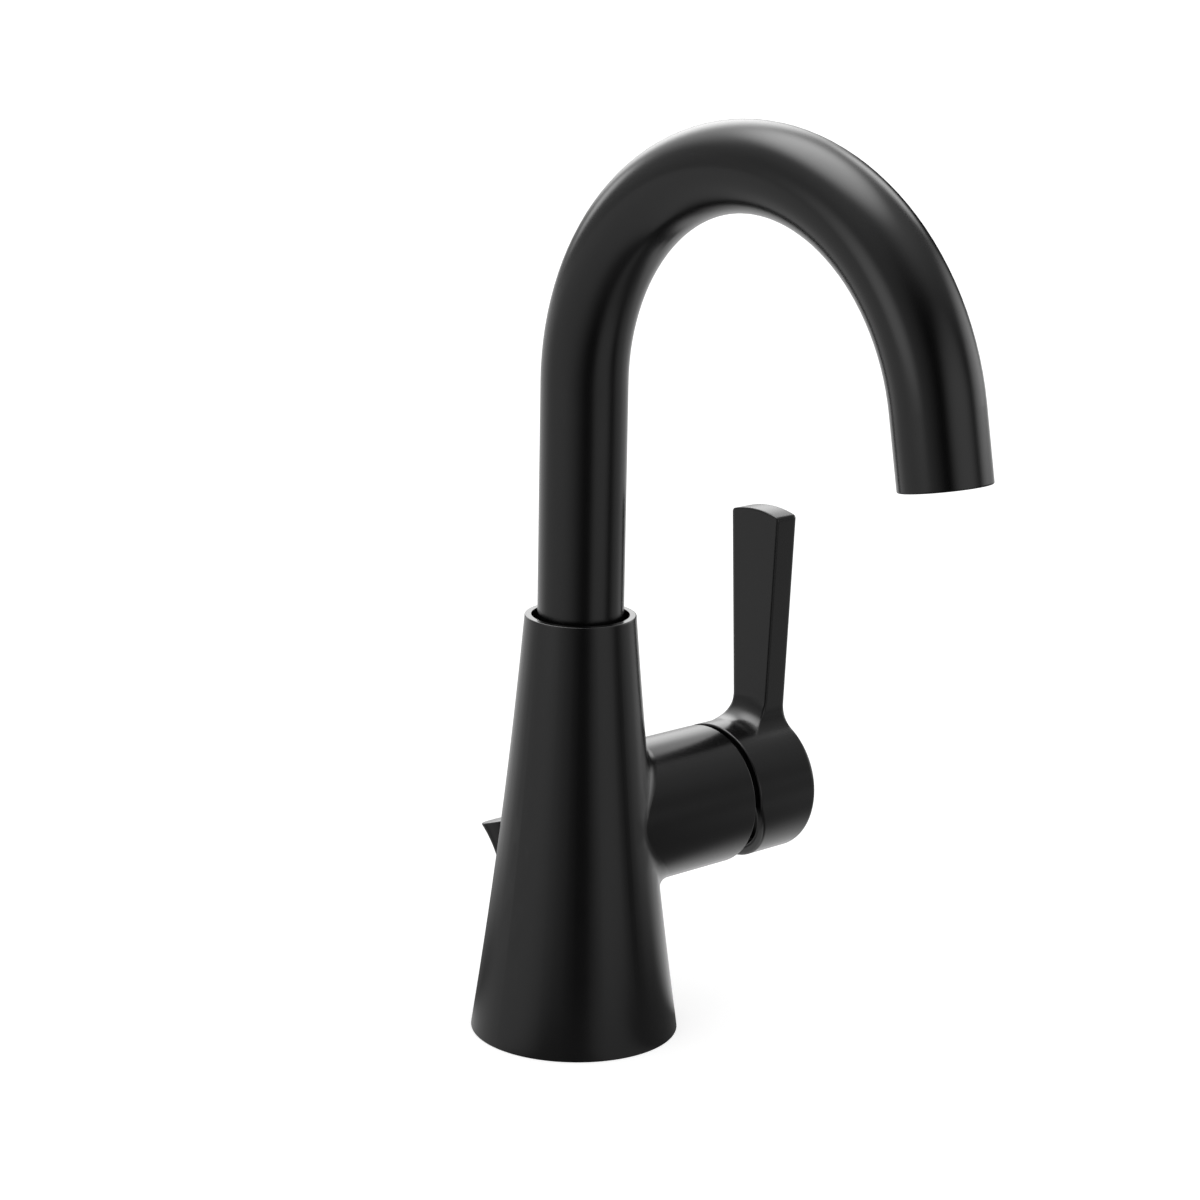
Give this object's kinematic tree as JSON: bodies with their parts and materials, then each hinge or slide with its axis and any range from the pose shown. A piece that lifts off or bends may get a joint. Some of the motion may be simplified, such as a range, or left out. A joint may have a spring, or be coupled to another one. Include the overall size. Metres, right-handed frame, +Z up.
{
  "type": "bathroom sink faucet",
  "caption": "Single-hole bathroom sink faucet in matte black, with a swivelling gooseneck spout, a lever on a side barrel and a lift rod for the drain.",
  "frame": {"origin": "on the sink's deck, at the centre of the body's foot", "axes": "+Z up; the spout reaches towards -Y, the handle's barrel points to +X, and the lift rod is at the back, +Y"},
  "size_m": [0.1014, 0.1745, 0.2963],
  "materials": {
    "black_finish": "satin matte black coating on metal",
    "brass": "machined, uncoated",
    "steel": "plain stainless",
    "rubber": "moulded black rubber",
    "black_plastic": "moulded, matt",
    "white_plastic": "moulded, matt",
    "ceramic": "ground and lapped"
  },
  "bodies": {
    "body": {"body_casting": "black_finish", "base_gasket": "rubber", "spout_glide_ring": "white_plastic", "spout_guide_bush": "black_plastic", "spout_keeper_screw": "steel", "lift_rod_bush": "white_plastic", "cartridge_housing": "white_plastic", "cartridge_base": "white_plastic", "cartridge_seals": "rubber", "fixed_disc": "ceramic", "cartridge_nut": "brass", "cartridge_cover": "black_finish", "fixing_stud": "brass", "deck_pad": "rubber", "clamp_plate": "steel", "fixing_nut": "brass"},
    "spout": {"spout_tube": "black_finish", "spout_nipple": "brass", "spout_seals": "rubber", "outlet_adapter": "brass", "aerator_body": "black_plastic", "aerator_screen": "steel", "aerator_washer": "rubber"},
    "rotor": {"cartridge_rotor": "black_plastic", "pivot_pin": "steel"},
    "disc": {"moving_disc": "ceramic", "disc_driver": "black_plastic"},
    "lever": {"spindle": "brass", "handle": "black_finish", "handle_set_screw": "steel", "set_screw_plug": "black_plastic"},
    "lift": {"lift_rod": "black_finish", "lift_knob": "black_finish"}
  },
  "joints": [
    {"name": "spout_swivel", "type": "hinge", "parent": "body", "child": "spout", "pos_m": [0, 0, 0.0876], "axis": [0, 0, 1], "range_deg": [-60, 60]},
    {"name": "handle_turn", "type": "hinge", "parent": "body", "child": "rotor", "pos_m": [0.037, 0, 0.0568], "axis": [1, 0, 0], "range_deg": [-45, 45]},
    {"name": "lever_lift", "type": "hinge", "parent": "rotor", "child": "lever", "pos_m": [0.037, 0, 0.0568], "axis": [0, 1, 0], "range_deg": [0, 20]},
    {"name": "disc_slide", "type": "slide", "parent": "rotor", "child": "disc", "axis": [0, 0, 1], "range_m": [0, 0.0036]},
    {"name": "lift_rod_slide", "type": "slide", "parent": "body", "child": "lift", "axis": [0, 0.3007, 0.9537], "range_m": [0, 0.03]}
  ],
  "couplings": [
    {"joint": "disc_slide", "follows": "lever_lift", "m_per_rad": 0.0099}
  ]
}
